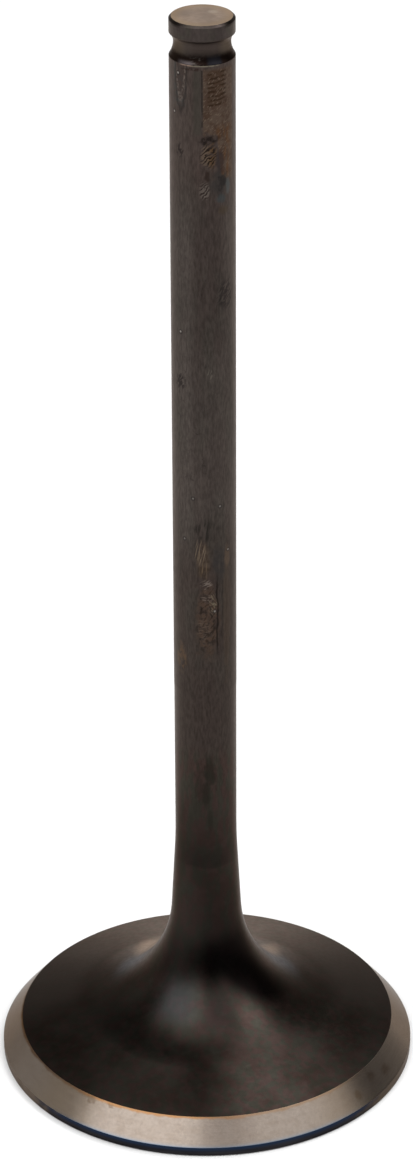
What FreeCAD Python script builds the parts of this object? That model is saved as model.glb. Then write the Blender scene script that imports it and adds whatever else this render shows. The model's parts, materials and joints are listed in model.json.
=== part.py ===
import FreeCAD, Part
import math
import os

# Poppet valve of a car engine, turned and ground from one forging.
# Sizes are in millimetres. The origin is the centre of the head's flat face,
# and +Z runs along the stem to the tip.

# Whole valve
overall_length = 108.7
head_diameter = 40.8

# Stem: the ground length runs in the valve guide, and the forged neck below it is a hair thinner
stem_diameter = 6.0
ground_length = 67.5
neck_relief = 0.015
relief_runout = 0.6

# Tip: ground square, with a narrow chamfer and a bead above the keeper groove
tip_chamfer = 0.2
bead_height = 1.4

# Keeper groove: a tight arc under the bead runs into a longer one down to the stem
groove_depth = 0.4
groove_upper_radius = 1.15
groove_lower_radius = 2.3
groove_edge_radius = 0.12

# Neck: a slight cone, which a large fillet turns into the underside of the head
neck_cone_top = 24.2
neck_cone_angle = 3.1
neck_fillet_radius = 12.4

# Head: both angles are measured from the plane of the flat face
underhead_angle = 14.8
seat_angle = 50.0
seat_radial_width = 1.93
margin_height = 0.96
face_chamfer_width = 0.15
face_chamfer_height = 0.12

head_radius = head_diameter / 2
stem_radius = stem_diameter / 2
neck_radius = stem_radius - neck_relief
groove_floor_radius = stem_radius - groove_depth

os.makedirs("parts", exist_ok=True)


def at(radius, height):
    """A point of the half section, which lies in the XZ plane."""
    return FreeCAD.Vector(radius, 0, height)


def slope(degrees):
    return math.tan(math.radians(degrees))


def path(*points):
    """Straight lines from each point to the next."""
    return [Part.LineSegment(start, end) for start, end in zip(points, points[1:])]


def arc_about(centre, start, end):
    """The shorter arc from start to end round a centre."""
    radius = centre.distanceToPoint(start)
    toward_middle = (start - centre).normalize() + (end - centre).normalize()
    return Part.Arc(start, centre + toward_middle.normalize() * radius, end)


def crossing(first, first_direction, second, second_direction):
    """The point where two lines of the half section meet."""
    gap = second - first
    turn = first_direction.x * second_direction.z - first_direction.z * second_direction.x
    distance = (gap.x * second_direction.z - gap.z * second_direction.x) / turn
    return first + first_direction * distance


def corner_arc(before, corner, after, radius):
    """The arc that rounds a corner, tangent to the lines on both sides of it."""
    back = (before - corner).normalize()
    ahead = (after - corner).normalize()
    half_angle = back.getAngle(ahead) / 2
    reach = radius / math.tan(half_angle)
    centre = corner + (back + ahead).normalize() * (radius / math.sin(half_angle))
    return arc_about(centre, corner + back * reach, corner + ahead * reach)


def head_curves():
    """The head, from its flat face round the margin and up the seat, as far as its underside."""
    margin_top = at(head_radius, margin_height)
    return path(
        at(0, 0),
        at(head_radius - face_chamfer_width, 0),
        at(head_radius, face_chamfer_height),
        margin_top,
        margin_top + at(-seat_radial_width, seat_radial_width * slope(seat_angle)),
    )


def neck_curves(seat_top):
    """The underside of the head, the neck fillet and the neck's cone."""
    cone_top = at(neck_radius, neck_cone_top)
    inward_and_up = at(-1, slope(underhead_angle))
    outward_and_down = at(slope(neck_cone_angle), -1)
    corner = crossing(seat_top, inward_and_up, cone_top, outward_and_down)
    fillet = corner_arc(seat_top, corner, cone_top, neck_fillet_radius)
    return path(seat_top, fillet.StartPoint) + [fillet] + path(fillet.EndPoint, cone_top)


def groove_edge_height(side_radius):
    """How far above or below the groove's floor the rounded edge of one side meets the stem."""
    side_centre = groove_floor_radius + side_radius
    edge_centre = stem_radius - groove_edge_radius
    return math.sqrt((side_radius + groove_edge_radius) ** 2 - (side_centre - edge_centre) ** 2)


def groove_side(floor, side_radius, direction):
    """One side of the groove, from its floor: a hollow arc, then the rounded edge at the stem."""
    side_centre = floor + at(side_radius, 0)
    edge_top = at(stem_radius, floor.z + direction * groove_edge_height(side_radius))
    edge_centre = edge_top - at(groove_edge_radius, 0)
    touch = side_centre + (edge_centre - side_centre).normalize() * side_radius
    return [arc_about(side_centre, floor, touch), arc_about(edge_centre, touch, edge_top)]


def groove_curves():
    """The keeper groove, from its upper edge under the bead down to its lower edge."""
    bead_bottom = overall_length - bead_height
    floor = at(groove_floor_radius, bead_bottom - groove_edge_height(groove_upper_radius))
    upper_side = groove_side(floor, groove_upper_radius, 1)
    lower_side = groove_side(floor, groove_lower_radius, -1)
    return upper_side, lower_side


def stem_curves(cone_top):
    """The stem from the neck to the tip, with the keeper groove, and back down the axis."""
    ground_bottom = overall_length - ground_length
    upper_side, lower_side = groove_curves()
    shank = path(
        cone_top,
        at(neck_radius, ground_bottom - relief_runout),
        at(stem_radius, ground_bottom),
        lower_side[-1].EndPoint,
    )
    tip = path(
        upper_side[-1].EndPoint,
        at(stem_radius, overall_length - tip_chamfer),
        at(stem_radius - tip_chamfer, overall_length),
        at(0, overall_length),
        at(0, 0),
    )
    return shank + lower_side[::-1] + upper_side + tip


def valve():
    """The whole valve as one revolve of its half section."""
    head = head_curves()
    neck = neck_curves(head[-1].EndPoint)
    stem = stem_curves(neck[-1].EndPoint)
    outline = Part.Wire([curve.toShape() for curve in head + neck + stem])
    return Part.Face(outline).revolve(at(0, 0), FreeCAD.Vector(0, 0, 1), 360)


valve().exportStep("parts/valve.step")
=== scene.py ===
import json
import math

import bpy
from mathutils import Matrix, Vector


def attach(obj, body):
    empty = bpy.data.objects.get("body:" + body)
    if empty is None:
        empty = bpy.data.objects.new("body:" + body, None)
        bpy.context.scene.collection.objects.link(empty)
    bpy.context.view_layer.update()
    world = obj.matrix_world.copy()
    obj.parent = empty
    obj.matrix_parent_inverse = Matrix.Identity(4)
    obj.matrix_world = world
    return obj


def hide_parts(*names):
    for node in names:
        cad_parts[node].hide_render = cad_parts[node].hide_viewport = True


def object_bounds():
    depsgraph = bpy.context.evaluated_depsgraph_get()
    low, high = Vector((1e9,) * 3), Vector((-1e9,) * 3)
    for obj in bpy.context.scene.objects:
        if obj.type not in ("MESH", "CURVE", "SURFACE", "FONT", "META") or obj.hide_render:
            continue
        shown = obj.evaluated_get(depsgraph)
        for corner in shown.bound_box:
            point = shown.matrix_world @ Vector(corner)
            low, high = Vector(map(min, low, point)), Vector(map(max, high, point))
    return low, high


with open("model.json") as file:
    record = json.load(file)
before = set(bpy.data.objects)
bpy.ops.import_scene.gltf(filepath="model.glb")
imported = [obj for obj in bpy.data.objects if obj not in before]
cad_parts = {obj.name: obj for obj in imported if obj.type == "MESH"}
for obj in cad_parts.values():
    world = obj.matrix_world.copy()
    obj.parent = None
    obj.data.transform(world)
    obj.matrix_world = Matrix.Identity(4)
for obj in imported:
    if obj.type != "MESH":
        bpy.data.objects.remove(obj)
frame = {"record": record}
cad_low, cad_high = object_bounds()
mounts = {mount["name"]: mount for mount in frame["record"]["mounts"]}

# The valve's own sizes, in millimetres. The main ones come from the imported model.
MM = 0.001
overall_length = cad_high.z / MM
head_radius = cad_high.x / MM
stem_radius = mounts["stem"]["dims"]["r_mm"]
ground_length = 67.5
neck_relief = 0.015
relief_runout = 0.6
neck_cone_top = 24.2
neck_cone_angle = math.radians(3.1)
neck_fillet_radius = 12.4
underhead_angle = math.radians(14.8)
seat_angle = math.radians(50)
seat_radial_width = 1.93
margin_height = 0.96
face_chamfer_width = 0.15
face_chamfer_height = 0.12
tip_chamfer = 0.2
bead_height = 1.4
groove_depth = 0.4
groove_upper_radius = 1.15
groove_lower_radius = 2.3
groove_edge_radius = 0.12

neck_radius = stem_radius - neck_relief
ground_bottom = overall_length - ground_length
bead_bottom = overall_length - bead_height
groove_floor_radius = stem_radius - groove_depth

# How finely the valve is turned, how its edges are eased, and where the stem's three materials meet
lathe_segments = 320
edge_rounding = 0.05
cone_top_rounding = 60.0
relief_rounding = 5.0
middle_bottom = 62.9
upper_bottom = 89.5

# The camera, fitted to the outline in the photograph, which is 413 by 1159 pixels
photo_height_pixels = 1159
focal_length_pixels = 4284
camera_elevation = math.radians(27.749)
camera_roll = math.radians(-0.274)
camera_distance = 0.40659
camera_aim = Vector((0.000162, 0, 0.052098))
sensor_size_mm = 36

# Studio sizes, in metres, and brightnesses, where 1 is white
floor_size = 8
floor_drop = 0.00002
floor_tone = 0.8
floor_glow = 0.1
softbox_distance = 1.6
room_brightness = 0.08
backdrop_brightness = 0.4
backdrop_glow = 4.0
left_brightness = 0.6

# How much of a metal's brightening at grazing angles is kept: an oxide film damps it
stem_grazing = (0.86, 0.80, 0.76)
dark_grazing = (0.66, 0.61, 0.58)
bright_grazing = (0.50, 0.45, 0.42)


# Half section of the valve. Its points are (distance from the axis, height), in millimetres.

def at(radius, height):
    return Vector((radius, height))


def to_the_right(direction):
    return at(direction.y, -direction.x).normalized()


def arc(centre, start, end, steps):
    """Points along the shorter arc from start to end, each with the way its surface faces."""
    first = start - centre
    turn = math.atan2(first.cross(end - centre), first.dot(end - centre))
    faces_away = 1 if first.dot(to_the_right(end - start)) > 0 else -1
    points = []
    for step in range(steps + 1):
        spoke = Matrix.Rotation(turn * step / steps, 2) @ first
        points.append((centre + spoke, spoke.normalized() * faces_away))
    return points


def rounded(before, point, after, radius, steps):
    """The arc that rounds a corner, tangent to the lines on both sides of it."""
    back = (before - point).normalized()
    ahead = (after - point).normalized()
    half_angle = back.angle(ahead) / 2
    reach = radius / math.tan(half_angle)
    centre = point + (back + ahead).normalized() * (radius / math.sin(half_angle))
    return arc(centre, point + back * reach, point + ahead * reach, steps)


def run_through(corners):
    """A run of straight lines with rounded corners. Each corner is (band, point, rounding, steps)."""
    run = []
    for before, here, after in zip(corners, corners[1:], corners[2:]):
        band, point, rounding, steps = here
        run += [(band, *bend) for bend in rounded(before[1], point, after[1], rounding, steps)]
    return run


def crossing(first, first_direction, second, second_direction):
    """Where two lines of the half section meet."""
    distance = (second - first).cross(second_direction) / first_direction.cross(second_direction)
    return first + first_direction * distance


def groove_edge_height(side_radius):
    """How far above or below the groove's floor the rounded edge of one side meets the stem."""
    side_centre = groove_floor_radius + side_radius
    edge_centre = stem_radius - groove_edge_radius
    return math.sqrt((side_radius + groove_edge_radius) ** 2 - (side_centre - edge_centre) ** 2)


groove_floor_height = bead_bottom - groove_edge_height(groove_upper_radius)
shoulder_height = groove_floor_height - groove_edge_height(groove_lower_radius)


def groove_run():
    """The keeper groove from the stem's shoulder up to the bead."""
    floor = at(groove_floor_radius, groove_floor_height)
    lower_edge = at(stem_radius - groove_edge_radius, shoulder_height)
    upper_edge = at(stem_radius - groove_edge_radius, bead_bottom)
    lower_centre = floor + at(groove_lower_radius, 0)
    upper_centre = floor + at(groove_upper_radius, 0)
    lower_touch = lower_centre + (lower_edge - lower_centre).normalized() * groove_lower_radius
    upper_touch = upper_centre + (upper_edge - upper_centre).normalized() * groove_upper_radius
    run = arc(lower_edge, at(stem_radius, shoulder_height), lower_touch, 6)
    run += arc(lower_centre, lower_touch, floor, 24)[1:]
    run += arc(upper_centre, floor, upper_touch, 20)[1:]
    run += arc(upper_edge, upper_touch, at(stem_radius, bead_bottom), 6)[1:]
    return [("upper_stem", *run[0])] + [("groove", *bend) for bend in run[1:]]


def half_section():
    """The outline from the flat face's centre round to the tip's: (band, point, facing)."""
    margin_top = at(head_radius, margin_height)
    seat_top = margin_top + at(-seat_radial_width, seat_radial_width * math.tan(seat_angle))
    cone_top = at(neck_radius, neck_cone_top)
    inward_and_up = at(-1, math.tan(underhead_angle))
    outward_and_down = at(math.tan(neck_cone_angle), -1)
    neck_corner = crossing(seat_top, inward_and_up, cone_top, outward_and_down)
    shoulder = at(stem_radius, shoulder_height)
    tip_edge = at(stem_radius - tip_chamfer, overall_length)

    below_groove = run_through([
        ("face", at(0, 0), 0, 0),
        ("face", at(head_radius - face_chamfer_width, 0), edge_rounding, 4),
        ("margin", at(head_radius, face_chamfer_height), edge_rounding, 4),
        ("margin", margin_top, edge_rounding, 4),
        ("seat", seat_top, edge_rounding, 4),
        ("neck", neck_corner, neck_fillet_radius, 72),
        ("neck", cone_top, cone_top_rounding, 8),
        ("neck", at(neck_radius, ground_bottom - relief_runout), relief_rounding, 2),
        ("neck", at(stem_radius, ground_bottom), relief_rounding, 2),
        ("neck", shoulder, 0, 0),
    ])
    outward = at(1, 0)
    stem = [
        ("lower_stem", at(stem_radius, middle_bottom), outward),
        ("middle_stem", at(stem_radius, upper_bottom), outward),
    ]
    above_groove = run_through([
        ("bead", at(stem_radius, bead_bottom), 0, 0),
        ("bead", at(stem_radius, overall_length - tip_chamfer), edge_rounding, 4),
        ("bead", tip_edge, edge_rounding, 4),
        ("tip", at(0, overall_length), 0, 0),
    ])
    first = [("face", at(0, 0), at(0, -1))]
    last = [("tip", at(0, overall_length), at(0, 1))]
    return first + below_groove + stem + groove_run() + above_groove + last


def lathe(name, outline, materials):
    """Turns the outline round the Z axis. Each band of it takes the material of that name."""
    vertices = []
    facings = []
    rings = []
    for band, point, facing in outline:
        count = 1 if point.x < 1e-6 else lathe_segments
        rings.append(range(len(vertices), len(vertices) + count))
        for step in range(count):
            angle = 2 * math.pi * step / count
            across, along = math.cos(angle), math.sin(angle)
            vertices.append((point.x * across * MM, point.x * along * MM, point.y * MM))
            facings.append((facing.x * across, facing.x * along, facing.y))
    faces = []
    slots = []
    slot_names = list(materials)
    for (low, high), (band, point, facing) in zip(zip(rings, rings[1:]), outline[1:]):
        for step in range(lathe_segments):
            after = (step + 1) % lathe_segments
            if len(low) == 1:
                faces.append((low[0], high[after], high[step]))
            elif len(high) == 1:
                faces.append((low[step], low[after], high[0]))
            else:
                faces.append((low[step], low[after], high[after], high[step]))
            slots.append(slot_names.index(band))
    mesh = bpy.data.meshes.new(name)
    mesh.from_pydata(vertices, [], faces)
    for slot in slot_names:
        mesh.materials.append(materials[slot])
    mesh.polygons.foreach_set("material_index", slots)
    mesh.shade_smooth()
    mesh.normals_split_custom_set_from_vertices(facings)
    mesh.update()
    piece = bpy.data.objects.new(name, mesh)
    bpy.context.scene.collection.objects.link(piece)
    return piece


# Node graphs. Every pattern is laid out in millimetres on the valve itself.

class Nodes:
    """Adds nodes to a tree one by one. Each method gives back the output that it makes."""

    def __init__(self, tree):
        self.tree = tree

    def node(self, kind):
        return self.tree.nodes.new(kind)

    def set(self, socket, value):
        if isinstance(value, bpy.types.NodeSocket):
            self.tree.links.new(value, socket)
        else:
            socket.default_value = value

    def math(self, operation, *values):
        node = self.node("ShaderNodeMath")
        node.operation = operation
        for socket, value in zip(node.inputs, values):
            self.set(socket, value)
        return node.outputs[0]

    def times(self, first, second):
        return self.math("MULTIPLY", first, second)

    def plus(self, first, second):
        return self.math("ADD", first, second)

    def minus(self, first, second):
        return self.math("SUBTRACT", first, second)

    def unsigned(self, value):
        return self.math("ABSOLUTE", value)

    def vector(self, operation, first, second=None, scale=None):
        node = self.node("ShaderNodeVectorMath")
        node.operation = operation
        self.set(node.inputs[0], first)
        if second is not None:
            self.set(node.inputs[1], second)
        if scale is not None:
            self.set(node.inputs["Scale"], scale)
        return node.outputs[0]

    def length(self, vector):
        node = self.node("ShaderNodeVectorMath")
        node.operation = "LENGTH"
        self.set(node.inputs[0], vector)
        return node.outputs["Value"]

    def split(self, vector):
        node = self.node("ShaderNodeSeparateXYZ")
        self.set(node.inputs[0], vector)
        return node.outputs[0], node.outputs[1], node.outputs[2]

    def join(self, x, y, z=0.0):
        node = self.node("ShaderNodeCombineXYZ")
        for socket, value in zip(node.inputs, (x, y, z)):
            self.set(socket, value)
        return node.outputs[0]

    def noise(self, vector, scale=1.0, detail=2.0, roughness=0.5, distortion=0.0):
        node = self.node("ShaderNodeTexNoise")
        self.set(node.inputs["Vector"], vector)
        node.inputs["Scale"].default_value = scale
        node.inputs["Detail"].default_value = detail
        node.inputs["Roughness"].default_value = roughness
        node.inputs["Distortion"].default_value = distortion
        return node.outputs["Fac"]

    def offset(self, noise, reach):
        """Noise round 0.5, as an offset round zero."""
        return self.times(self.minus(noise, 0.5), reach)

    def rise(self, value, low, high, bottom=0.0, top=1.0):
        """Goes smoothly from bottom to top as the value goes from low to high."""
        node = self.node("ShaderNodeMapRange")
        node.interpolation_type = "SMOOTHSTEP"
        names = ("Value", "From Min", "From Max", "To Min", "To Max")
        for name, given in zip(names, (value, low, high, bottom, top)):
            self.set(node.inputs[name], given)
        return node.outputs[0]

    def window(self, value, low, high, blur):
        """Is 1 where the value lies between low and high, with soft ends."""
        up = self.rise(value, low - blur, low + blur)
        down = self.rise(value, high - blur, high + blur, 1.0, 0.0)
        return self.times(up, down)

    def all_of(self, *masks):
        result = masks[0]
        for mask in masks[1:]:
            result = self.times(result, mask)
        return result

    def mix(self, amount, first, second, kind="MIX"):
        node = self.node("ShaderNodeMix")
        node.data_type = "RGBA"
        node.blend_type = kind
        self.set(node.inputs["Factor"], amount)
        for socket, colour in ((node.inputs[6], first), (node.inputs[7], second)):
            self.set(socket, (*colour, 1) if isinstance(colour, tuple) else colour)
        return node.outputs[2]

    def over(self, colour, mask, strength, tone):
        """Lays a tone over the colour where the mask is, as strongly as is asked for."""
        return self.mix(self.times(mask, strength), colour, tone)

    def bump(self, height, depth, strength=1.0, over=None):
        node = self.node("ShaderNodeBump")
        node.inputs["Strength"].default_value = strength
        node.inputs["Distance"].default_value = depth * MM
        self.set(node.inputs["Height"], height)
        if over is not None:
            self.set(node.inputs["Normal"], over)
        return node.outputs[0]


class Graph(Nodes):
    """The nodes of one kind of steel, with the place of each point in millimetres."""

    def __init__(self, name, grazing, turned=0.0):
        self.material = bpy.data.materials.new(name)
        self.material.use_nodes = True
        super().__init__(self.material.node_tree)
        self.shader = self.tree.nodes["Principled BSDF"]
        self.shader.inputs["Metallic"].default_value = 1
        self.shader.inputs["Specular Tint"].default_value = (*grazing, 1)
        if turned:
            around = self.node("ShaderNodeTangent")
            around.direction_type = "RADIAL"
            around.axis = "Z"
            self.shader.inputs["Anisotropic"].default_value = turned
            self.set(self.shader.inputs["Tangent"], around.outputs[0])
        place = self.node("ShaderNodeTexCoord").outputs["Object"]
        self.place = self.vector("SCALE", place, scale=1 / MM)
        self.across, self.toward, self.height = self.split(self.place)
        self.turn = self.math("ARCTAN2", self.across, self.times(self.toward, -1))
        self.round_stem = self.times(self.turn, stem_radius)

    def stretched(self, along_x, along_y, along_z, shift=0.0):
        scaled = self.vector("MULTIPLY", self.place, (along_x, along_y, along_z))
        return self.vector("ADD", scaled, (shift, shift, shift))

    def from_axis(self):
        return self.length(self.join(self.across, self.toward))

    def stem_noise(self, shift, scale, detail=3):
        """Noise on the stem's unrolled surface."""
        return self.noise(self.join(self.round_stem, self.height, shift), scale, detail)

    def finish(self, colour, roughness, normal):
        self.set(self.shader.inputs["Base Color"], colour)
        self.set(self.shader.inputs["Roughness"], roughness)
        self.set(self.shader.inputs["Normal"], normal)
        return self.material


# Materials of the bands

def streaky(graph, dark, light, shift):
    """Steel whose tone drifts slowly along the piece, with a finer mottling along it."""
    slow = graph.rise(graph.noise(graph.stretched(0.35, 0.35, 0.05, shift), detail=3), 0.3, 0.7)
    fine = graph.rise(graph.noise(graph.stretched(2.4, 2.4, 0.45, shift), detail=3), 0.3, 0.75)
    return graph.mix(graph.times(fine, 0.4), graph.mix(slow, dark, light), dark)


def strokes(graph, lean, thickness, length, shift, fullness):
    """Short brush-like marks on the stem's surface, leaning by an angle from the horizontal."""
    across, up = graph.round_stem, graph.height
    along = graph.plus(graph.times(across, math.cos(lean)), graph.times(up, math.sin(lean)))
    aside = graph.minus(graph.times(up, math.cos(lean)), graph.times(across, math.sin(lean)))
    place = graph.join(graph.times(along, 1 / length), graph.times(aside, 1 / thickness), shift)
    return graph.rise(graph.noise(place, detail=1), 1.0 - fullness, 1.1 - fullness)


def area(graph, left, right, bottom, top, blur):
    """A rectangle on the stem's surface with soft edges."""
    sides = graph.window(graph.round_stem, left, right, blur)
    return graph.times(sides, graph.window(graph.height, bottom, top, blur))


def from_centre(graph, across, height, half_width, half_height, ragged=0.0, shift=0.0):
    """Distance from a point of the stem's surface: 1 on an oval, which noise can make ragged."""
    aside = graph.times(graph.minus(graph.round_stem, across), 1 / half_width)
    above = graph.times(graph.minus(graph.height, height), 1 / half_height)
    distance = graph.length(graph.join(aside, above))
    if ragged:
        wobble = graph.stem_noise(shift, 1.6)
        distance = graph.plus(distance, graph.offset(wobble, ragged))
    return distance


def blotch(graph, across, height, half_width, half_height, ragged=0.0, shift=0.0):
    """An oval mark on the stem's surface with soft edges."""
    distance = from_centre(graph, across, height, half_width, half_height, ragged, shift)
    return graph.rise(distance, 0.45, 1.05, 1.0, 0.0)


def stripes(graph, spacing, tilt, wander, shift):
    """Bands that cross the stem, with their spacing up it, their tilt, and how far they wander."""
    across = graph.round_stem
    wave = graph.minus(graph.height, graph.times(across, tilt))
    drift = graph.stem_noise(shift, 1.6)
    wave = graph.plus(wave, graph.times(drift, wander))
    return graph.rise(graph.math("SINE", graph.times(wave, 2 * math.pi / spacing)), -0.3, 0.7)


def brown_patch(graph, colour):
    """The brown wear on the right below the groove, with the dark rows across it."""
    across, up = graph.round_stem, graph.height
    clouds = graph.stem_noise(2.0, 1.7, 5)
    ragged = graph.times(graph.stem_noise(7.0, 1.3), 2.0)
    lower = graph.rise(across, 1.2, 1.9, 98.3, 94.0)
    above_lower = graph.rise(graph.plus(graph.minus(up, lower), ragged), 0.6, 1.6)
    below_shoulder = graph.rise(up, 104.4, 104.9, 1.0, 0.0)
    patch = graph.all_of(graph.window(across, 0.04, 3.25, 0.12), above_lower, below_shoulder)
    brown = graph.mix(graph.rise(clouds, 0.35, 0.65), (0.052, 0.031, 0.021), (0.076, 0.053, 0.039))
    colour = graph.over(colour, patch, 0.85, brown)
    runs = graph.noise(graph.join(graph.times(across, 3.0), graph.times(up, 0.6), 5.0), detail=3)
    low_right = graph.times(graph.window(across, 1.2, 2.9, 0.3), graph.rise(up, 98.6, 99.6, 1.0, 0.0))
    orange = graph.all_of(patch, low_right, graph.rise(runs, 0.42, 0.6))
    colour = graph.over(colour, orange, 0.75, (0.075, 0.036, 0.016))

    block = graph.all_of(patch, area(graph, 0.5, 2.1, 101.2, 104.5, 0.12))
    colour = graph.over(colour, block, 0.6, (0.046, 0.028, 0.018))
    here = graph.times(area(graph, 0.45, 2.3, 101.1, 104.5, 0.15), graph.rise(clouds, 0.30, 0.50))
    rows = graph.times(stripes(graph, 0.42, 0.12, 0.35, 4.0), here)
    colour = graph.over(colour, rows, 0.80, (0.022, 0.012, 0.007))
    flecks = graph.all_of(patch, strokes(graph, 0.75, 0.14, 0.4, 3.0, 0.42))
    colour = graph.over(colour, flecks, 0.65, (0.115, 0.085, 0.064))
    below_rows = graph.rise(up, 101.2, 101.8, 1.0, 0.0)
    nicks = graph.all_of(patch, strokes(graph, 0.8, 0.16, 0.45, 46.0, 0.36), below_rows)
    colour = graph.over(colour, nicks, 0.7, (0.026, 0.016, 0.011))

    green = area(graph, -0.85, -0.1, 98.5, 104.6, 0.25)
    colour = graph.over(colour, green, 0.55, (0.038, 0.036, 0.029))
    broken = graph.rise(clouds, 0.36, 0.56, 0.35, 1.0)
    crack = graph.times(area(graph, -0.10, 0.03, 99.2, 104.6, 0.07), broken)
    return graph.over(colour, crack, 0.8, (0.015, 0.012, 0.011))


def soot_marks(graph, colour):
    """Slanted light and dark strokes below the patch, with the soot above, beside and under them."""
    across = graph.round_stem
    clouds = graph.stem_noise(9.0, 2.2, 4)
    broken = graph.rise(clouds, 0.36, 0.50, 0.25, 1.0)
    soot_and_shade = graph.times(blotch(graph, 0.6, 97.95, 1.0, 0.6, 1.4, 8.0), broken)
    colour = graph.over(colour, soot_and_shade, 0.9, (0.012, 0.009, 0.008))
    slanted = stripes(graph, 0.42, 0.80, 1.1, 6.0)
    here = blotch(graph, 0.62, 96.4, 0.95, 1.45, 0.9, 10.0)
    brown = graph.mix(graph.window(across, 0.6, 1.4, 0.3), (0.096, 0.069, 0.050), (0.074, 0.043, 0.022))
    strength = graph.times(here, graph.rise(clouds, 0.30, 0.50, 0.45, 1.0))
    colour = graph.over(colour, strength, 0.95, graph.mix(slanted, brown, (0.012, 0.008, 0.006)))
    for place, strength, tone in (
        ((1.65, 95.8, 0.55, 1.5, 0.8, 11.0), 0.75, (0.026, 0.020, 0.020)),
        ((0.40, 94.5, 0.32, 0.60, 1.5, 12.0), 0.70, (0.017, 0.010, 0.008)),
        ((1.60, 93.6, 1.25, 1.60, 1.2, 17.0), 0.60, (0.026, 0.025, 0.024)),
        ((1.85, 93.8, 0.60, 0.90, 2.4, 20.0), 0.65, (0.013, 0.012, 0.012)),
        ((2.55, 93.3, 0.35, 1.00, 0.8, 22.0), 0.60, (0.062, 0.071, 0.072)),
        ((1.75, 92.2, 0.60, 0.55, 0.9, 24.0), 0.60, (0.036, 0.044, 0.046)),
        ((2.00, 91.0, 0.70, 0.60, 0.9, 28.0), 0.45, (0.048, 0.034, 0.020)),
    ):
        colour = graph.over(colour, blotch(graph, *place), strength, tone)
    loops = blotch(graph, 0.15, 93.05, 0.60, 1.05, 0.4, 30.0)
    loops = graph.times(loops, graph.rise(clouds, 0.32, 0.5, 0.2, 0.85))
    slanted = stripes(graph, 0.38, 0.75, 1.2, 26.0)
    tones = graph.mix(slanted, (0.105, 0.087, 0.075), (0.015, 0.010, 0.009))
    return graph.over(colour, loops, 0.85, tones)


def drips_below_tip(graph, colour):
    """A painted highlight along the shoulder with painted shade under it, and a dried drip on the left
    with bluish marks round it.
    """
    across, up = graph.round_stem, graph.height
    ragged = graph.stem_noise(36.0, 3.0)
    blue = graph.times(area(graph, -3.1, -1.7, 101.0, 105.2, 0.4), graph.rise(ragged, 0.4, 0.6))
    colour = graph.over(colour, blue, 0.5, (0.044, 0.050, 0.050))
    inside = from_centre(graph, -2.12, 104.6, 0.52, 3.2, 0.45, 38.0)
    colour = graph.over(colour, graph.rise(inside, 0.6, 1.0, 1.0, 0.0), 0.5, (0.042, 0.028, 0.024))
    rim = graph.times(graph.window(inside, 0.72, 0.98, 0.10), graph.rise(ragged, 0.42, 0.56))
    colour = graph.over(colour, rim, 0.7, (0.140, 0.110, 0.094))
    beside = graph.window(inside, 1.12, 1.36, 0.12)
    colour = graph.over(colour, beside, 0.60, (0.018, 0.015, 0.014))
    # A painted highlight: a light line just below the shoulder's edge.
    above = graph.minus(up, shoulder_height)
    shoulder_highlight = graph.times(graph.window(across, -2.1, 1.5, 0.25), graph.rise(above, -0.16, -0.07))
    shoulder_highlight = graph.times(shoulder_highlight, graph.rise(ragged, 0.36, 0.48, 0.3, 1.0))
    wear_and_highlight = graph.mix(graph.window(across, -2.4, -1.0, 0.3), (0.150, 0.130, 0.100), (0.240, 0.165, 0.130))
    colour = graph.over(colour, shoulder_highlight, 0.85, wear_and_highlight)
    # Painted shade: a dark line under the painted highlight.
    shade_under_shoulder = graph.times(graph.window(across, -2.0, -0.2, 0.2), graph.window(above, -0.50, -0.25, 0.10))
    shade_under_shoulder = graph.times(shade_under_shoulder, graph.rise(ragged, 0.4, 0.55))
    return graph.over(colour, shade_under_shoulder, 0.7, (0.022, 0.012, 0.010))


def rubbed_place(graph, colour):
    """A bronze rubbed place halfway up the stem, under a fan of dark strokes."""
    clouds = graph.stem_noise(14.0, 1.8, 4)
    fan = strokes(graph, 1.45, 0.30, 1.6, 14.0, 0.56)
    fan = graph.times(fan, blotch(graph, 0.10, 58.7, 1.35, 1.35, 0.8, 13.0))
    colour = graph.over(colour, fan, 0.75, (0.017, 0.015, 0.013))
    shade = graph.rise(clouds, 0.35, 0.6, 0.4, 1.0)
    shade = graph.times(shade, blotch(graph, 1.45, 55.4, 0.80, 2.3, 0.9, 18.0))
    colour = graph.over(colour, shade, 0.65, (0.026, 0.024, 0.024))
    bronze = blotch(graph, -0.12, 55.6, 0.85, 2.4, 0.6, 15.0)
    tones = graph.mix(graph.rise(clouds, 0.35, 0.6), (0.036, 0.024, 0.016), (0.070, 0.050, 0.037))
    colour = graph.over(colour, bronze, 0.65, tones)
    for place, lean, shift, strength, tone in (
        ((-0.45, 56.5, 0.70, 1.55, 0.3, 29.0), 1.36, 29.0, 0.90, (0.135, 0.102, 0.074)),
        ((-0.05, 54.6, 0.55, 1.20, 0.3, 32.0), 1.52, 33.0, 0.70, (0.100, 0.071, 0.046)),
    ):
        rubbed = graph.times(strokes(graph, lean, 0.17, 2.4, shift, 0.50), blotch(graph, *place))
        colour = graph.over(colour, rubbed, strength, tone)
    dark_between = graph.times(strokes(graph, 1.36, 0.17, 1.4, 40.0, 0.42), bronze)
    return graph.over(colour, dark_between, 0.6, (0.020, 0.013, 0.009))


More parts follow.
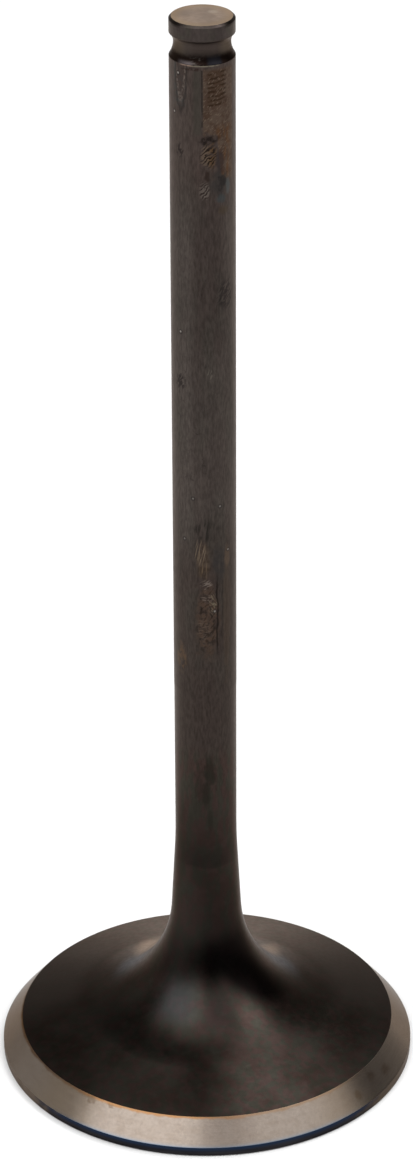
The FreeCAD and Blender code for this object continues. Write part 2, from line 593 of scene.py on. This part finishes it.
def stains_below_it(graph, colour):
    """Scribbles, mottled brown stains and long dark streaks on the front below the rubbed place."""
    across, up = graph.round_stem, graph.height
    place = graph.join(across, graph.times(up, 0.7), 19.0)
    clouds = graph.noise(place, scale=2.2, detail=5, distortion=0.6)
    stain = graph.times(blotch(graph, 0.25, 49.2, 1.45, 5.0, 0.8, 21.0), graph.rise(clouds, 0.36, 0.60))
    colour = graph.over(colour, stain, 0.65, (0.066, 0.041, 0.028))
    dark = graph.rise(clouds, 0.32, 0.50, 1.0, 0.0)
    dark = graph.times(dark, blotch(graph, 0.30, 48.8, 1.50, 5.0, 0.8, 22.0))
    colour = graph.over(colour, dark, 0.75, (0.017, 0.011, 0.008))
    for place, lean, shift, strength, tone in (
        ((0.15, 53.0, 0.75, 0.70, 0.5, 50.0), 0.45, 31.0, 0.90, (0.125, 0.100, 0.086)),
        ((0.20, 51.6, 0.85, 0.55, 0.5, 51.0), -0.25, 32.0, 0.80, (0.100, 0.076, 0.064)),
        ((0.80, 51.0, 0.55, 1.40, 0.4, 52.0), -1.00, 34.0, 0.90, (0.118, 0.095, 0.068)),
        ((-0.10, 48.4, 0.80, 1.60, 0.6, 53.0), 0.20, 35.0, 0.65, (0.085, 0.062, 0.048)),
    ):
        scribble = graph.times(strokes(graph, lean, 0.15, 0.7, shift, 0.50), blotch(graph, *place))
        colour = graph.over(colour, scribble, strength, tone)
    inked = strokes(graph, 0.9, 0.16, 0.6, 57.0, 0.45)
    inked = graph.times(inked, blotch(graph, 0.35, 49.5, 1.2, 4.2, 0.8, 56.0))
    colour = graph.over(colour, inked, 0.65, (0.014, 0.009, 0.007))
    ragged = graph.offset(graph.stem_noise(54.0, 0.7, 2), 0.5)
    beside = graph.plus(across, ragged)
    for centre, bottom, strength in ((1.20, 46.0, 0.95), (1.75, 47.0, 0.45), (2.2, 44.0, 0.35)):
        streak = graph.window(beside, centre - 0.08, centre + 0.08, 0.07)
        streak = graph.times(streak, graph.window(up, bottom, 53.5, 0.9))
        colour = graph.over(colour, streak, strength, (0.012, 0.009, 0.008))
    rust = graph.times(blotch(graph, -2.6, 44.9, 0.9, 1.9, 1.0, 25.0), graph.rise(clouds, 0.40, 0.60))
    colour = graph.over(colour, rust, 0.80, (0.088, 0.055, 0.034))
    smear = blotch(graph, -0.4, 40.4, 0.9, 0.30, 0.9, 55.0)
    colour = graph.over(colour, smear, 0.45, (0.018, 0.013, 0.011))
    right_brown = blotch(graph, 2.3, 50.0, 0.6, 9.0, 0.9, 27.0)
    colour = graph.over(colour, right_brown, 0.35, (0.064, 0.044, 0.032))
    below_speck = blotch(graph, 2.35, 55.6, 0.45, 1.4, 0.9, 59.0)
    return graph.over(colour, below_speck, 0.50, (0.088, 0.060, 0.042))


def specks(graph, colour, places):
    """Light specks with a ragged dark ring, each at (across, height, brightness)."""
    for across, height, brightness in places:
        ring = blotch(graph, across, height, 0.30, 0.30, 0.6, height)
        colour = graph.over(colour, ring, 0.65, (0.018, 0.015, 0.015))
        speck = blotch(graph, across, height, 0.13, 0.13)
        colour = graph.over(colour, speck, brightness, (0.30, 0.275, 0.25))
    return colour


def pits_on_left(graph, colour):
    """Dark pits and two light specks on the left, some way below the groove."""
    pits = strokes(graph, 1.2, 0.25, 0.5, 42.0, 0.55)
    pits = graph.times(pits, blotch(graph, -2.25, 96.8, 0.55, 0.9, 0.7, 43.0))
    colour = graph.over(colour, pits, 0.75, (0.015, 0.012, 0.012))
    return specks(graph, colour, ((-2.40, 104.1, 0.85), (-2.96, 100.3, 0.85)))


def specks_below_middle(graph, colour):
    """Faint light specks here and there on the lower stem."""
    return specks(graph, colour, (
        (-1.08, 62.1, 0.35),
        (1.52, 61.2, 0.40),
        (-2.02, 57.7, 0.35),
        (2.45, 56.4, 0.50),
        (0.95, 50.2, 0.50),
    ))


def scribbles_and_spots(graph, colour):
    """A dark scribble on the right, spots on the left, and faint scratches and specks between them."""
    across, up = graph.round_stem, graph.height
    scribble = strokes(graph, 0.9, 0.20, 0.6, 37.0, 0.56)
    scribble = graph.times(scribble, blotch(graph, 2.3, 82.6, 1.3, 1.8, 0.7, 33.0))
    spots = strokes(graph, 1.1, 0.30, 0.6, 41.0, 0.55)
    spots = graph.times(spots, blotch(graph, -2.4, 73.9, 0.8, 1.1, 0.7, 35.0))
    specked = graph.noise(graph.join(graph.times(across, 3.2), graph.times(up, 1.3), 51.0), detail=3)
    drips = graph.times(graph.rise(specked, 0.60, 0.70), area(graph, -3.0, -1.2, 64.0, 88.0, 0.6))
    middle = graph.times(graph.rise(specked, 0.62, 0.72), area(graph, -0.6, 0.8, 74.0, 88.5, 0.5))
    for marks, strength in ((scribble, 0.70), (spots, 0.75), (drips, 0.40), (middle, 0.50)):
        colour = graph.over(colour, marks, strength, (0.015, 0.012, 0.012))
    place = graph.join(graph.times(across, 1 / 1.2), graph.times(up, 1 / 0.8), 61.0)
    wander = graph.noise(place, detail=1)
    outlines = graph.rise(graph.unsigned(graph.minus(wander, 0.5)), 0.0036, 0.012, 1.0, 0.0)
    here = graph.rise(graph.stem_noise(9.0, 0.8, 2), 0.52, 0.6)
    scratches = graph.all_of(outlines, area(graph, -2.8, 1.6, 63.5, 77.0, 0.4), here)
    colour = graph.over(colour, scratches, 0.40, (0.018, 0.014, 0.013))
    bright = graph.times(strokes(graph, 1.2, 0.12, 0.9, 63.0, 0.5), blotch(graph, 0.60, 74.9, 0.35, 0.6))
    colour = graph.over(colour, bright, 0.5, (0.110, 0.095, 0.080))
    return specks(graph, colour, ((-2.33, 78.9, 0.80),))


def ground_tone(graph):
    """The ground stem's tones before its wear, which the top of the neck shares."""
    across, up = graph.round_stem, graph.height
    colour = streaky(graph, (0.044, 0.035, 0.031), (0.062, 0.050, 0.044), 3.0)
    left = graph.window(across, -3.8, -1.2, 0.5)
    colour = graph.over(colour, left, 0.50, (0.074, 0.062, 0.055))
    lower = graph.rise(up, 53.0, 61.0, 1.0, 0.0)
    colour = graph.over(colour, lower, 0.65, (0.038, 0.028, 0.0235))
    low_right = graph.times(lower, graph.window(across, 1.9, 4.2, 0.5))
    colour = graph.over(colour, low_right, 0.50, (0.026, 0.021, 0.018))
    front = graph.window(across, -0.8, 1.9, 0.7)
    above = graph.window(up, 77.0, 96.0, 2.0)
    below = graph.rise(up, 57.0, 61.5, 1.0, 0.0)
    heights = graph.math("MAXIMUM", above, below)
    colour = graph.over(colour, graph.times(front, heights), 0.75, (0.036, 0.027, 0.024))
    hue = graph.noise(graph.stretched(0.5, 0.5, 0.12, 70.0), detail=3)
    colour = graph.over(colour, graph.rise(hue, 0.45, 0.65), 0.35, (0.040, 0.037, 0.031))
    colour = graph.over(colour, graph.rise(up, 41.0, 46.0, 1.0, 0.0), 0.60, (0.038, 0.029, 0.025))
    colour = graph.over(colour, graph.rise(up, 89.0, 96.0), 0.40, (0.056, 0.038, 0.033))
    fine = graph.noise(graph.stretched(5.5, 5.5, 1.3, 22.0), detail=4, roughness=0.6)
    return graph.mix(1.0, colour, graph.rise(fine, 0.25, 0.75, 0.74, 1.26), "MULTIPLY")


def stem_steel(name, *wears):
    """The ground stem's steel, with the wear of one stretch of it."""
    graph = Graph(name, stem_grazing, turned=0.3)
    colour = ground_tone(graph)
    for wear in wears:
        colour = wear(graph, colour)
    rings = graph.noise(graph.stretched(0.5, 0.5, 9.0), detail=2)
    grain = graph.noise(graph.stretched(3.5, 3.5, 1.2), detail=3)
    roughness = graph.rise(grain, 0.2, 0.8, 0.36, 0.46)
    normal = graph.bump(rings, 0.003, 0.6)
    return graph.finish(colour, roughness, graph.bump(grain, 0.006, 0.5, normal))


def neck_steel():
    """The forged neck and the top of the head, darker in front, with painted highlights and shade, and a
    painted glint on each side behind.
    """
    graph = Graph("forged_neck", dark_grazing)
    across, up, turn = graph.round_stem, graph.height, graph.turn
    from_axis = graph.from_axis()
    cloud = graph.noise(graph.stretched(0.22, 0.22, 0.12, 5.0), detail=4)
    mottle = graph.noise(graph.stretched(1.1, 1.1, 1.1, 6.0), detail=5, roughness=0.6)
    tone = graph.mix(graph.rise(cloud, 0.3, 0.7), (0.021, 0.016, 0.0135), (0.033, 0.027, 0.024))
    tone = graph.over(tone, graph.rise(mottle, 0.45, 0.75), 0.35, (0.037, 0.031, 0.028))
    middle = graph.all_of(graph.window(across, -1.5, 1.1, 0.9), graph.rise(up, 13.0, 16.0))
    tone = graph.over(tone, middle, 0.38, (0.015, 0.012, 0.0105))
    higher = graph.rise(up, 23.0, 38.0)
    tone = graph.mix(higher, tone, ground_tone(graph))
    hue = graph.noise(graph.stretched(1.3, 1.3, 0.5, 44.0), detail=2)
    tint = graph.mix(graph.rise(hue, 0.42, 0.58), (0.90, 1.02, 0.93), (1.12, 0.94, 0.93))
    tone = graph.mix(graph.rise(up, 33.0, 36.0, 1.0, 0.0), tone, graph.mix(1.0, tone, tint, "MULTIPLY"))
    for place, strength in (
        ((0.42, 32.6, 0.75, 1.90, 1.0, 45.0), 0.70),
        ((0.02, 30.3, 0.50, 1.80, 1.0, 47.0), 0.75),
        ((-0.60, 31.2, 0.60, 2.60, 1.2, 48.0), 0.35),
        ((0.45, 27.2, 0.35, 1.40, 1.0, 49.0), 0.50),
    ):
        tone = graph.over(tone, blotch(graph, *place), strength, (0.0155, 0.0135, 0.0105))
    wavy = graph.plus(up, graph.offset(mottle, 0.8))
    ring = graph.all_of(graph.rise(wavy, 21.75, 22.15), graph.rise(wavy, 22.4, 25.2, 1.0, 0.0),
                        graph.rise(graph.unsigned(across), 0.9, 3.2, 1.0, 0.40))
    tone = graph.over(tone, ring, 0.62, (0.0125, 0.0105, 0.0090))

    # Darker in front, to the right of the middle, round the foot of the neck.
    facing_front = graph.window(turn, -1.2, 1.35, 0.25)
    to_the_right = graph.rise(turn, -0.35, 0.15, 0.50, 0.92)
    outer = graph.rise(turn, 0.2, 1.2, 5.4, 8.2)
    within = graph.rise(graph.minus(from_axis, outer), -0.9, 0.9, 1.0, 0.0)
    darkened = graph.all_of(facing_front, to_the_right, graph.rise(from_axis, 3.0, 4.0), within)
    tone = graph.mix(darkened, tone, (0.004, 0.003, 0.003))
    # A painted highlight: a bluish lighter patch in front, to the left of the middle.
    bluish = graph.all_of(graph.window(turn, -0.75, -0.20, 0.20), graph.window(from_axis, 5.4, 8.2, 0.9))
    tone = graph.over(tone, bluish, 0.60, (0.025, 0.027, 0.029))
    # Painted shade: a darker reddish patch just right of the middle, between two highlights.
    painted_shade_between_highlights = graph.all_of(graph.window(turn, -0.05, 0.35, 0.15), graph.window(from_axis, 5.8, 8.6, 0.9))
    tone = graph.over(tone, painted_shade_between_highlights, 0.45, (0.017, 0.012, 0.012))
    behind = graph.unsigned(turn)
    # Painted light: the outer part of the head behind the neck is made lighter on both sides.
    painted_light_far_rim = graph.all_of(graph.window(behind, 1.55, 2.35, 0.20), graph.rise(from_axis, 11.3, 14.5))
    tone = graph.over(tone, painted_light_far_rim, 0.60, (0.056, 0.047, 0.041))
    edge = graph.minus(graph.rise(behind, 2.0, 2.65, 7.5, 12.0), from_axis)
    # Painted shade beside the glints: a darker tone and a weaker grazing brightening.
    painted_shade_beside_glints = graph.all_of(graph.rise(edge, -1.0, 1.0, 1.0, 0.0), graph.window(behind, 1.80, 2.75, 0.2),
                        graph.window(from_axis, 6.8, 10.6, 0.8))
    tone = graph.over(tone, painted_shade_beside_glints, 0.45, (0.010, 0.008, 0.007))
    # Painted glints on both sides behind the neck: a warm tone in the colour, and a warm and a cool
    # brightening of the grazing reflection.
    both = graph.plus(graph.window(turn, -2.68, -2.12, 0.15), graph.window(turn, 2.08, 2.50, 0.12))
    warm = graph.all_of(graph.rise(edge, -1.2, 1.2), both, graph.rise(from_axis, 6.0, 7.8))
    painted_cool_glint = graph.all_of(graph.window(behind, 1.75, 2.20, 0.2), graph.window(from_axis, 6.4, 9.6, 0.8))
    tone = graph.over(tone, warm, 0.85, (0.092, 0.060, 0.044))

    grain = graph.noise(graph.stretched(2.2, 2.2, 2.2), detail=1)
    rougher = graph.times(higher, 0.07)
    roughness = graph.plus(graph.rise(grain, 0.25, 0.75, 0.30, 0.36), rougher)
    # The grazing tint also carries the painted shade beside the glints and the painted cool and warm
    # glints.
    grazing = graph.over(graph.mix(higher, dark_grazing, stem_grazing), painted_shade_beside_glints, 0.40, (0.54, 0.50, 0.475))
    grazing = graph.over(grazing, painted_cool_glint, 0.50, (0.70, 0.72, 0.75))
    grazing = graph.over(grazing, warm, 0.90, (1.00, 0.86, 0.75))
    graph.set(graph.shader.inputs["Specular Tint"], grazing)
    return graph.finish(tone, roughness, graph.bump(grain, 0.003, 0.35))


def seat_steel():
    """The bare ground seat, straw-coloured along its top and bluish along its lower edge in front."""
    graph = Graph("ground_seat", bright_grazing, turned=0.5)
    turn, up = graph.turn, graph.height
    lines = graph.noise(graph.stretched(0.08, 0.08, 14.0), detail=3)
    patches = graph.noise(graph.stretched(0.9, 0.9, 1.6, 8.0), detail=4)
    fine = graph.noise(graph.stretched(3.5, 3.5, 3.5, 11.0), detail=4, roughness=0.6)
    tone = graph.mix(graph.rise(lines, 0.3, 0.7), (0.196, 0.163, 0.138), (0.212, 0.178, 0.152))
    tone = graph.over(tone, graph.rise(patches, 0.42, 0.70), 0.32, (0.152, 0.118, 0.092))
    tone = graph.mix(1.0, tone, graph.rise(fine, 0.25, 0.75, 0.92, 1.08), "MULTIPLY")
    sides = graph.rise(graph.unsigned(turn), 0.45, 1.0)
    tone = graph.over(tone, sides, 0.35, (0.150, 0.118, 0.090))
    # Tones in bands round the seat; the last one, on the right, is painted light.
    for low, high, strength, patch in (
        (-1.50, -1.15, 0.30, (0.120, 0.098, 0.080)),
        (-0.95, -0.68, 0.35, (0.300, 0.225, 0.145)),
        (0.62, 0.92, 0.30, (0.165, 0.115, 0.065)),
        (0.95, 1.50, 0.40, (0.290, 0.235, 0.190)),
    ):
        tone = graph.over(tone, graph.window(turn, low, high, 0.15), strength, patch)
    # Painted light: both far sides of the seat are made lighter.
    ends = graph.rise(graph.unsigned(turn), 1.45, 1.85)
    tone = graph.over(tone, ends, 0.50, (0.330, 0.300, 0.265))
    # Painted shade: a darker strip on the seat just right of the front.
    painted_shade_right_of_front = graph.window(turn, -0.03, 0.25, 0.03)
    tone = graph.over(tone, painted_shade_right_of_front, 0.32, (0.130, 0.102, 0.086))

    top = margin_height + seat_radial_width * math.tan(seat_angle)
    ragged = graph.offset(patches, 0.30)
    from_top = graph.plus(graph.minus(up, top), ragged)
    warm = graph.rise(from_top, -0.26, -0.08)
    for low, high, blur, strength, straw in (
        (0.1, 0.85, 0.3, 0.50, (0.190, 0.105, 0.045)),
        (-0.85, 0.15, 0.25, 0.75, (0.225, 0.105, 0.032)),
        (-2.0, -0.85, 0.25, 0.75, (0.075, 0.038, 0.016)),
    ):
        tone = graph.over(tone, graph.times(warm, graph.window(turn, low, high, blur)), strength, straw)
    front = graph.window(turn, -0.75, 0.75, 0.2)
    from_margin = graph.minus(up, margin_height)
    for reach, strength, blue in ((0.35, 0.55, (0.15, 0.165, 0.185)), (0.10, 0.60, (0.05, 0.09, 0.15))):
        cold = graph.times(graph.rise(from_margin, 0.02, reach, 1.0, 0.0), front)
        tone = graph.over(tone, cold, strength, blue)

    around = graph.times(turn, head_radius)
    spots = ((-37, 3.0, 0.45), (-30, 3.0, 0.25), (49, 1.9, 0.45), (57, 2.4, 0.50), (64, 2.0, 0.60))
    for angle, height, size in spots:
        aside = graph.times(graph.minus(around, math.radians(angle) * head_radius), 0.6)
        distance = graph.length(graph.join(aside, graph.minus(up, height)))
        distance = graph.plus(distance, graph.offset(fine, 0.9))
        spot = graph.rise(distance, size * 0.3, size, 1.0, 0.0)
        tone = graph.over(tone, spot, 0.40, (0.090, 0.050, 0.022))
    roughness = graph.rise(lines, 0.3, 0.7, 0.22, 0.26)
    return graph.finish(tone, roughness, graph.bump(lines, 0.001, 0.4))


def margin_steel():
    """The margin is dark in front, and round its sides painted light makes it nearly as light as the
    seat.
    """
    graph = Graph("margin", dark_grazing)
    band = graph.noise(graph.stretched(0.2, 0.2, 3.0, 2.0), detail=3)
    patches = graph.noise(graph.stretched(0.9, 0.9, 1.6, 8.0), detail=4)
    tone = graph.mix(graph.rise(band, 0.3, 0.7), (0.014, 0.013, 0.015), (0.027, 0.026, 0.028))
    front = graph.rise(graph.unsigned(graph.turn), 0.75, 1.05, 1.0, 0.0)
    blue = graph.rise(graph.height, margin_height - 0.55, margin_height - 0.10)
    tone = graph.over(tone, graph.times(blue, front), 0.75, (0.010, 0.024, 0.056))
    # Painted light: the sides of the margin take a lighter tone, a little less on the right.
    bare = graph.mix(graph.rise(patches, 0.40, 0.65), (0.145, 0.115, 0.092), (0.110, 0.086, 0.066))
    bare = graph.over(bare, graph.window(graph.turn, 0.75, 1.35, 0.25), 0.70, (0.062, 0.046, 0.032))
    ragged = graph.offset(patches, 0.6)
    to_side = graph.plus(graph.unsigned(graph.turn), ragged)
    tone = graph.over(tone, graph.rise(to_side, 0.78, 1.06), 0.90, bare)
    return graph.finish(tone, graph.rise(band, 0.3, 0.7, 0.34, 0.44), graph.bump(band, 0.006, 0.4))


def face_steel():
    """The flat face, plain and stained, with the faint rings of its turning."""
    graph = Graph("head_face", dark_grazing)
    from_axis = graph.from_axis()
    rings = graph.noise(graph.join(graph.times(from_axis, 0.9), 0.0, 0.0), detail=2)
    stain = graph.noise(graph.stretched(0.16, 0.16, 0.16, 4.0), detail=5)
    tone = graph.mix(graph.rise(stain, 0.3, 0.7), (0.040, 0.034, 0.030), (0.075, 0.065, 0.057))
    tone = graph.over(tone, graph.rise(rings, 0.35, 0.7), 0.4, (0.095, 0.084, 0.075))
    return graph.finish(tone, graph.rise(stain, 0.3, 0.7, 0.36, 0.48), graph.bump(rings, 0.008, 0.4))


def groove_steel():
    """The groove, with painted shade along its lower edge, a pale rim and worn marks on the left."""
    graph = Graph("keeper_groove", dark_grazing)
    across, up = graph.round_stem, graph.height
    tone = streaky(graph, (0.040, 0.030, 0.026), (0.058, 0.046, 0.040), 12.0)
    sides = graph.rise(graph.unsigned(across), 1.4, 2.8)
    tone = graph.over(tone, sides, 0.50, (0.086, 0.066, 0.046))
    ragged = graph.stem_noise(36.0, 3.0)
    # Painted shade: the lowest part of the groove, next to the shoulder, is near black.
    edge = graph.plus(up, graph.offset(ragged, 0.3))
    darkened = graph.rise(edge, shoulder_height + 0.50, shoulder_height + 0.95, 1.0, 0.0)
    soot_and_shade = graph.mix(graph.window(across, 0.5, 1.9, 0.2), (0.009, 0.005, 0.004), (0.011, 0.011, 0.014))
    tone = graph.over(tone, darkened, 0.95, soot_and_shade)
    rim = graph.rise(up, shoulder_height + 0.15, shoulder_height + 0.42, 1.0, 0.0)
    pale = graph.times(graph.window(across, -2.4, -0.9, 0.3), rim)
    tone = graph.over(tone, pale, 0.65, (0.085, 0.072, 0.074))
    wear_and_highlight = strokes(graph, 0.35, 0.16, 0.55, 58.0, 0.47)
    wear_and_highlight = graph.all_of(wear_and_highlight, graph.window(across, -1.2, 0.0, 0.25), darkened)
    tone = graph.over(tone, wear_and_highlight, 0.60, (0.070, 0.060, 0.053))
    rings = graph.noise(graph.stretched(0.4, 0.4, 8.0, 6.0), detail=2)
    return graph.finish(tone, graph.rise(rings, 0.3, 0.7, 0.32, 0.44), graph.bump(rings, 0.005, 0.5))


def bead_steel():
    """The bead above the groove, with painted shade round the top of its sides."""
    graph = Graph("bead", stem_grazing)
    tone = streaky(graph, (0.038, 0.030, 0.028), (0.062, 0.050, 0.045), 16.0)
    hue = graph.noise(graph.stretched(0.7, 0.7, 0.7, 31.0), detail=3)
    tone = graph.over(tone, graph.rise(hue, 0.45, 0.6), 0.5, (0.050, 0.045, 0.036))
    fine = graph.noise(graph.stretched(4.0, 4.0, 2.0, 22.0), detail=3)
    tone = graph.mix(1.0, tone, graph.rise(fine, 0.25, 0.75, 0.88, 1.12), "MULTIPLY")
    # Painted shade on the sides of the bead's top edge.
    top = graph.rise(graph.height, overall_length - 0.50, overall_length - 0.30)
    darkened = graph.times(graph.rise(graph.unsigned(graph.turn), 0.6, 0.95), top)
    tone = graph.over(tone, darkened, 0.85, (0.010, 0.007, 0.006))
    grain = graph.noise(graph.stretched(2.5, 2.5, 2.5, 6.0), detail=3)
    return graph.finish(tone, graph.rise(grain, 0.3, 0.7, 0.34, 0.44), graph.bump(grain, 0.006, 0.4))


def tip_steel():
    """The bare ground tip, browner towards its edge, with one light mark."""
    graph = Graph("ground_tip", bright_grazing)
    grain = graph.noise(graph.stretched(2.0, 3.6, 1.0, 9.0), detail=5, roughness=0.6)
    cloud = graph.noise(graph.stretched(0.6, 0.6, 1.0, 14.0), detail=4)
    tone = graph.mix(graph.rise(grain, 0.3, 0.7), (0.33, 0.255, 0.202), (0.43, 0.345, 0.282))
    tone = graph.over(tone, graph.rise(cloud, 0.42, 0.6), 0.6, (0.27, 0.22, 0.185))
    from_axis = graph.from_axis()
    tone = graph.over(tone, graph.rise(from_axis, 1.6, 2.7), 0.45, (0.44, 0.315, 0.190))
    beside_mark = graph.join(graph.minus(graph.across, 0.95), graph.minus(graph.toward, 0.9))
    from_mark = graph.length(beside_mark)
    tone = graph.over(tone, graph.rise(from_mark, 0.15, 0.65, 1.0, 0.0), 0.6, (0.52, 0.44, 0.36))
    return graph.finish(tone, graph.rise(grain, 0.3, 0.7, 0.36, 0.48), graph.bump(grain, 0.006, 0.5))


materials = {
    "face": face_steel(),
    "margin": margin_steel(),
    "seat": seat_steel(),
    "neck": neck_steel(),
    "lower_stem": stem_steel("lower_stem", rubbed_place, stains_below_it, specks_below_middle),
    "middle_stem": stem_steel("middle_stem", scribbles_and_spots),
    "upper_stem": stem_steel("upper_stem", brown_patch, soot_marks, drips_below_tip, pits_on_left),
    "groove": groove_steel(),
    "bead": bead_steel(),
    "tip": tip_steel(),
}

valve = lathe("turned_valve", half_section(), materials)
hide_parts("valve")
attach(valve, "root")


# Studio: a pale floor, a backdrop behind it, softboxes and the camera

def add_floor():
    """A pale floor a hair below the head's flat face, so that the two don't share one plane."""
    bpy.ops.mesh.primitive_plane_add(size=floor_size, location=(0, 0, -floor_drop))
    floor = bpy.context.object
    floor.name = "floor"
    material = bpy.data.materials.new("floor")
    material.use_nodes = True
    nodes = Nodes(material.node_tree)
    shader = nodes.tree.nodes["Principled BSDF"]
    shader.inputs["Base Color"].default_value = (floor_tone, floor_tone, floor_tone, 1)
    shader.inputs["Roughness"].default_value = 1
    shader.inputs["Specular IOR Level"].default_value = 0
    shader.inputs["Emission Color"].default_value = (1, 1, 1, 1)
    rays = nodes.node("ShaderNodeLightPath").outputs
    seen = nodes.math("MAXIMUM", rays["Is Camera Ray"], rays["Is Glossy Ray"])
    shown = nodes.math("MAXIMUM", seen, rays["Is Transmission Ray"])
    nodes.set(shader.inputs["Emission Strength"], nodes.times(shown, floor_glow))
    floor.data.materials.append(material)


def heading(azimuth, elevation):
    """A direction: azimuth 0 is behind the valve, 90 to its right and 180 towards the camera."""
    turn, rise = math.radians(azimuth), math.radians(elevation)
    return Vector((math.sin(turn) * math.cos(rise), math.cos(turn) * math.cos(rise), math.sin(rise)))


def add_softbox(name, azimuth, elevation, degrees_wide, degrees_high, brightness):
    """A softbox that looks as large and as bright from the valve as is asked for."""
    direction = heading(azimuth, elevation)
    lamp = bpy.data.lights.new(name, "AREA")
    lamp.shape = "RECTANGLE"
    lamp.size = 2 * softbox_distance * math.tan(math.radians(degrees_wide / 2))
    lamp.size_y = 2 * softbox_distance * math.tan(math.radians(degrees_high / 2))
    lamp.energy = brightness * math.pi * lamp.size * lamp.size_y
    softbox = bpy.data.objects.new(name, lamp)
    softbox.location = Vector((0, 0, cad_high.z / 2)) + direction * softbox_distance
    softbox.rotation_euler = direction.to_track_quat("Z", "Y").to_euler()
    softbox.visible_camera = False
    bpy.context.scene.collection.objects.link(softbox)


def add_camera():
    """The camera on the circle of the fit, looking at the aim with the photograph's small roll."""
    forward = Vector((0, math.cos(camera_elevation), -math.sin(camera_elevation)))
    right = Vector((1, 0, 0))
    up = right.cross(forward)
    rolled_right = right * math.cos(camera_roll) + up * math.sin(camera_roll)
    rolled_up = up * math.cos(camera_roll) - right * math.sin(camera_roll)
    place = camera_aim - forward * camera_distance
    data = bpy.data.cameras.new("camera")
    data.sensor_fit = "VERTICAL"
    data.sensor_height = sensor_size_mm
    data.lens = sensor_size_mm * focal_length_pixels / photo_height_pixels
    data.clip_start = 0.01
    camera = bpy.data.objects.new("camera", data)
    turned = Matrix((rolled_right, rolled_up, -forward)).transposed()
    camera.matrix_world = Matrix.Translation(place) @ turned.to_4x4()
    bpy.context.scene.collection.objects.link(camera)
    bpy.context.scene.camera = camera


def add_world():
    """A backdrop that is brightest low behind the valve, and a dim room on the camera's side."""
    world = bpy.data.worlds.new("studio")
    world.use_nodes = True
    nodes = Nodes(world.node_tree)
    background = nodes.tree.nodes["Background"]
    background.inputs["Color"].default_value = (1, 1, 1, 1)
    rightward, away, up = nodes.split(nodes.node("ShaderNodeTexCoord").outputs["Generated"])
    backdrop = nodes.rise(away, 0.1, 0.8, room_brightness, backdrop_brightness)
    glow = nodes.rise(away, 0.97, 1.0, 0.0, backdrop_glow)
    left = nodes.rise(rightward, -0.9, -0.55, left_brightness, 0.0)
    low = nodes.rise(up, 0.3, 0.65, 1.0, 0.4)
    around = nodes.plus(nodes.plus(backdrop, glow), left)
    nodes.set(background.inputs["Strength"], nodes.times(around, low))
    bpy.context.scene.world = world


add_floor()
add_softbox("front_left", -137, 48, 52, 36, 3.0)
add_softbox("high_back_right", 51, 64, 77, 22, 3.3)
add_softbox("right_front", 118, 44, 55, 34, 1.9)
add_softbox("front", 170, 47, 26, 24, 1.3)
add_softbox("overhead", 180, 74, 40, 22, 2.2)
add_world()
add_camera()
bpy.context.scene.view_settings.view_transform = "Standard"
